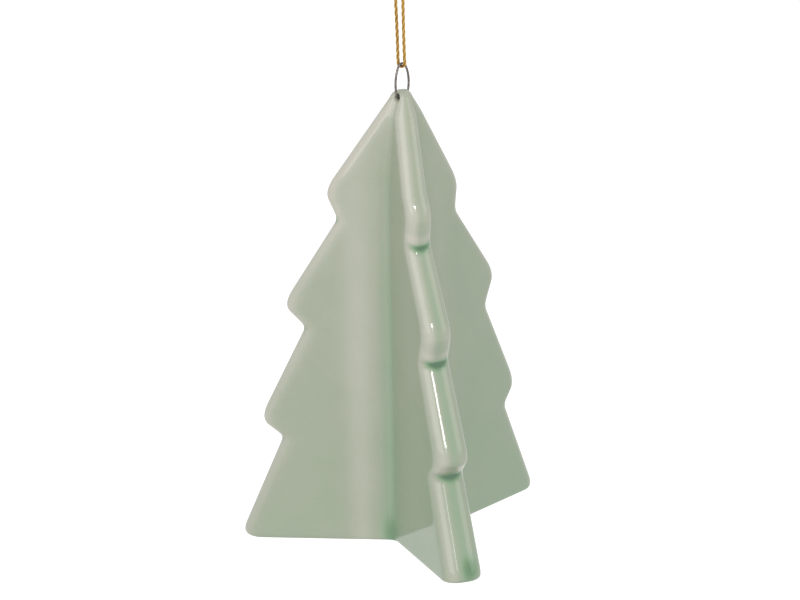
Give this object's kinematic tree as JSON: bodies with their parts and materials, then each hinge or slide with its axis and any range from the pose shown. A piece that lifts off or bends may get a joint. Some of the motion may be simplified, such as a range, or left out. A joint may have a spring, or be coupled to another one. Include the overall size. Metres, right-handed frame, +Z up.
{
  "type": "ceramic tree ornament",
  "caption": "Hanging ornament: a glazed ceramic tree of three upright tiered wings that swings on a wire ring and a doubled gold cord.",
  "frame": {"origin": "top of the inside of the cord's loop, just under the knot, where a hook or twig carries the ornament", "axes": "+Z up, along the hanging cord and the tree's upright axis; -Y along the wing that faces the front"},
  "size_m": [0.0652, 0.0572, 0.164],
  "materials": {
    "glaze": "glossy pale sage green glaze, paler on edges and greener in hollows",
    "wire": "dark drawn steel wire",
    "cord": "twisted metallic gold cord"
  },
  "bodies": {
    "cord": {"hanging_cord": "cord", "cord_knot": "cord"},
    "ring": {"wire_ring": "wire"},
    "tree": {"ceramic_tree": "glaze"}
  },
  "joints": [
    {"name": "ring_swing", "type": "hinge", "parent": "cord", "child": "ring", "pos_m": [0, 0, -0.052], "axis": [-0.5736, 0.8192, 0], "range_deg": [-60, 60]},
    {"name": "tree_swing", "type": "hinge", "parent": "ring", "child": "tree", "pos_m": [0, 0, -0.05838], "axis": [0.8192, 0.5736, 0], "range_deg": [-30, 50]}
  ]
}
